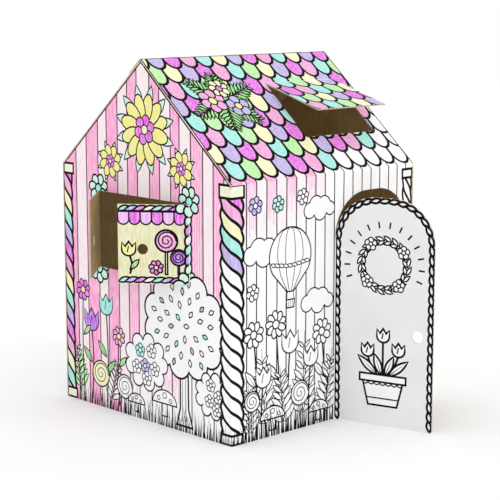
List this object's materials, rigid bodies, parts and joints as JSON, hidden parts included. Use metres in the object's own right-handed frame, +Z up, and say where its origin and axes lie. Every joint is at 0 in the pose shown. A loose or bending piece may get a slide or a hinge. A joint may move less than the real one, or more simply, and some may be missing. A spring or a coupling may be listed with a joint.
{
  "type": "cardboard playhouse",
  "caption": "Child-size folded board playhouse to colour in, with an arched door, shuttered gable windows and a lifting skylight flap.",
  "frame": {"origin": "on the ground, under the middle of the whole object's box, with the door and shutters open as modelled", "axes": "+Z up, +X along the front wall from the left gable to the right gable, +Y from the front wall to the back wall, so the door side faces -Y"},
  "size_m": [1.0988, 1.2152, 1.2228],
  "materials": {
    "printed_board": "matt printed liner",
    "plain_print_board": "matt printed liner",
    "kraft_inside": "bare kraft liner",
    "print": "line print coloured by hand"
  },
  "bodies": {
    "root": {"front_sheet": "printed_board", "back_sheet": "plain_print_board"}
  },
  "joints": []
}
